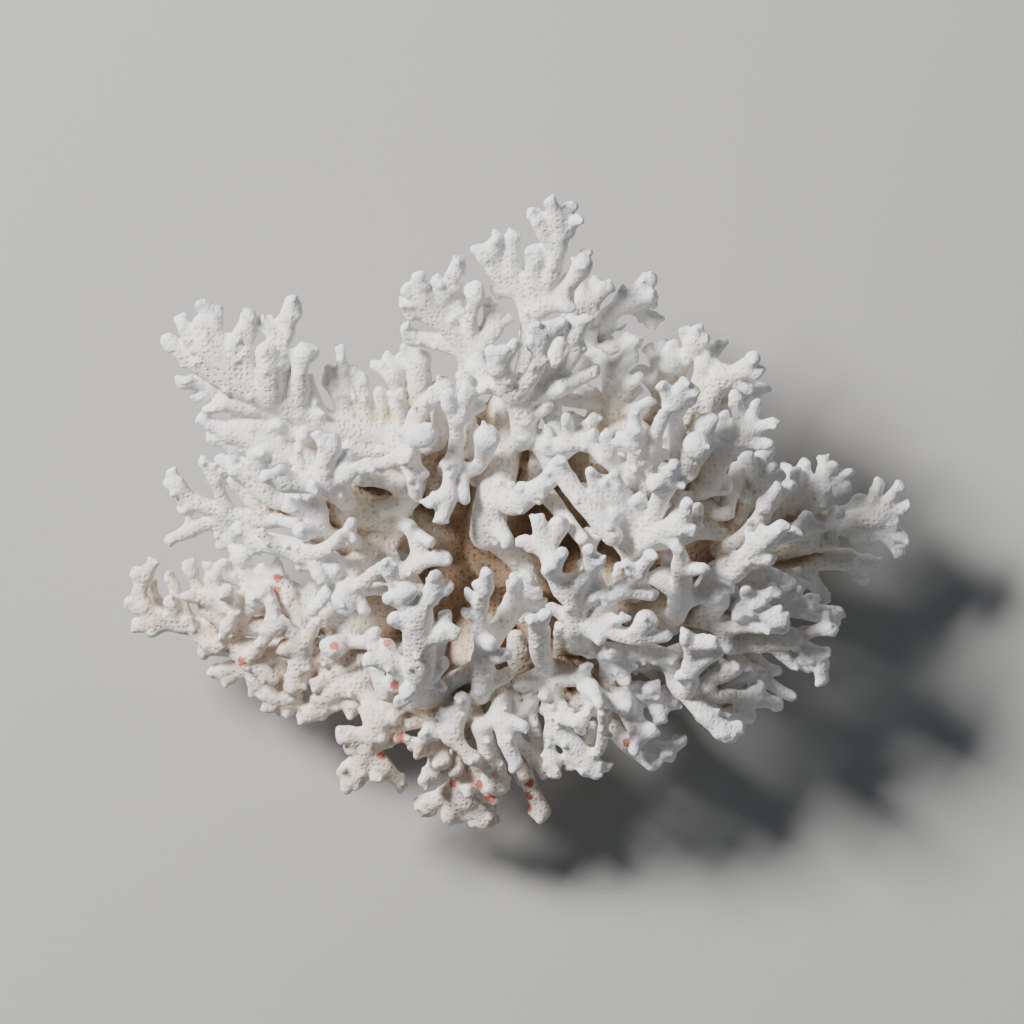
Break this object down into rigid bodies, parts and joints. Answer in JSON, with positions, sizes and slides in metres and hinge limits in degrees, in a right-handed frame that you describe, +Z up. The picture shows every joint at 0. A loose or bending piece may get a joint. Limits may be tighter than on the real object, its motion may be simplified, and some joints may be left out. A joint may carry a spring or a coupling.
{
  "type": "branching coral",
  "caption": "Dried white branching coral colony with blunt-fingered sprays fanning out from a short trunk, cut off flat to stand on.",
  "frame": {"origin": "middle of the bounding box's bottom, on the plane of the flat cut that the coral rests on", "axes": "+X along the longest spread of the branches, +Y to the far side as seen by a viewer at the front, +Z up from the flat cut"},
  "size_m": [0.1975, 0.1593, 0.0849],
  "materials": {
    "white_coral": "matt, bleached white with a fine pitted and granular skin",
    "cream_coral": "matt cream to tan, smoother, with sparse pits",
    "beige_coral": "matt pinkish beige with coarse pits and a few small red crusts"
  },
  "bodies": {
    "root": {"trunk": "cream_coral", "north_bough": "cream_coral", "northwest_bough": "cream_coral", "west_bough": "cream_coral", "southwest_bough": "cream_coral", "south_bough": "cream_coral", "southeast_bough": "cream_coral", "east_bough": "cream_coral", "northeast_bough": "cream_coral", "far_east_bough": "cream_coral", "north_crown": "white_coral", "north_low": "white_coral", "north_wing": "white_coral", "north_heart": "white_coral", "northeast_inner": "white_coral", "northeast_gall": "white_coral", "northeast_wing": "white_coral", "northeast_fork": "white_coral", "east_top": "white_coral", "east_gall": "white_coral", "center_forks": "white_coral", "center_ridge": "white_coral", "center_arc": "white_coral", "great_palm": "white_coral", "cup": "white_coral", "east_fork": "white_coral", "east_heart": "white_coral", "east_bright": "white_coral", "east_finger": "white_coral", "far_east_upper": "white_coral", "far_east_tip": "white_coral", "far_east_lower": "white_coral", "east_low_cluster": "white_coral", "southeast_star": "white_coral", "southeast_long": "white_coral", "southeast_upright": "white_coral", "southeast_low": "white_coral", "south_right": "white_coral", "south_rods": "white_coral", "south_fan": "white_coral", "southwest_crown": "white_coral", "southwest_palm": "white_coral", "south_tooth": "white_coral", "south_finger": "white_coral", "south_wedge": "beige_coral", "southwest_foot": "beige_coral", "southwest_low": "beige_coral", "southwest_arm": "white_coral", "southwest_lace": "beige_coral", "southwest_tip": "beige_coral", "west_long": "white_coral", "west_upper": "white_coral", "northwest_crown": "white_coral", "north_northwest": "white_coral", "northwest_inner": "white_coral", "north_left": "white_coral", "center_left_knob": "white_coral", "center_knob": "white_coral", "west_heart": "white_coral", "west_grey": "white_coral"}
  },
  "joints": []
}
